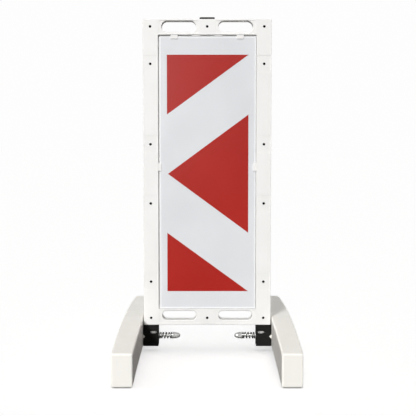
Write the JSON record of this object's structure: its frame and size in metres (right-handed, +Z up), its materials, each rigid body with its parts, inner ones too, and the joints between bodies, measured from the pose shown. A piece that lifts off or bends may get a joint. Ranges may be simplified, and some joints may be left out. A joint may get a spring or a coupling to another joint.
{
  "type": "portable direction board",
  "caption": "Free-standing upright road direction board: reflective panel with red triangles in a moulded carry frame, on arched feet that pull out and swing flat.",
  "frame": {"origin": "on the ground, under the middle of the board", "axes": "+X across the board, +Y from its front to its rear, +Z up"},
  "size_m": [0.64, 1.2, 1.26],
  "materials": {
    "frame_plastic": "satin moulded",
    "panel_plastic": "satin",
    "white_sheeting": "retroreflective film",
    "red_film": "retroreflective film",
    "black_plastic": "satin moulded",
    "foot_plastic": "moulded, light beige",
    "rubber": "matt",
    "zinc_steel": "zinc plated",
    "spring_steel": "zinc plated wire",
    "screw_steel": "blackened"
  },
  "bodies": {
    "frame": {"front_frame_shell": "frame_plastic", "rear_frame_shell": "frame_plastic", "frame_screws": "screw_steel", "sign_panel": "panel_plastic", "white_sheeting": "white_sheeting", "top_red_triangle": "red_film", "middle_red_triangle": "red_film", "bottom_red_triangle": "red_film", "gap_spacers": "frame_plastic", "lamp_socket": "black_plastic", "left_top_clip": "frame_plastic", "left_side_clip": "frame_plastic", "left_hinge_block": "black_plastic", "left_fixing_bolt": "zinc_steel", "left_fixing_nut": "zinc_steel", "left_block_washer": "zinc_steel", "right_top_clip": "frame_plastic", "right_side_clip": "frame_plastic", "right_hinge_block": "black_plastic", "right_fixing_bolt": "zinc_steel", "right_fixing_nut": "zinc_steel", "right_block_washer": "zinc_steel"},
    "left_pivot": {"left_pivot_bolt": "zinc_steel", "left_spring_washer": "zinc_steel", "left_foot_spring": "spring_steel", "left_cap_nut": "zinc_steel"},
    "left_foot": {"left_foot": "foot_plastic", "left_foot_bush": "zinc_steel", "left_front_foot_pad": "rubber", "left_rear_foot_pad": "rubber"},
    "right_pivot": {"right_pivot_bolt": "zinc_steel", "right_spring_washer": "zinc_steel", "right_foot_spring": "spring_steel", "right_cap_nut": "zinc_steel"},
    "right_foot": {"right_foot": "foot_plastic", "right_foot_bush": "zinc_steel", "right_front_foot_pad": "rubber", "right_rear_foot_pad": "rubber"}
  },
  "joints": [
    {"name": "left_foot_pull", "type": "slide", "parent": "frame", "child": "left_pivot", "axis": [-1, 0, 0], "range_m": [0, 0.012], "stiffness_N_per_m": 8000, "springref_m": -0.015, "deforming": ["left_foot_spring"]},
    {"name": "left_foot_swing", "type": "hinge", "parent": "left_pivot", "child": "left_foot", "pos_m": [-0.28, 0, 0.0586], "axis": [1, 0, 0], "range_deg": [-90, 90]},
    {"name": "right_foot_pull", "type": "slide", "parent": "frame", "child": "right_pivot", "axis": [1, 0, 0], "range_m": [0, 0.012], "stiffness_N_per_m": 8000, "springref_m": -0.015, "deforming": ["right_foot_spring"]},
    {"name": "right_foot_swing", "type": "hinge", "parent": "right_pivot", "child": "right_foot", "pos_m": [0.28, 0, 0.0586], "axis": [1, 0, 0], "range_deg": [-90, 90]}
  ]
}
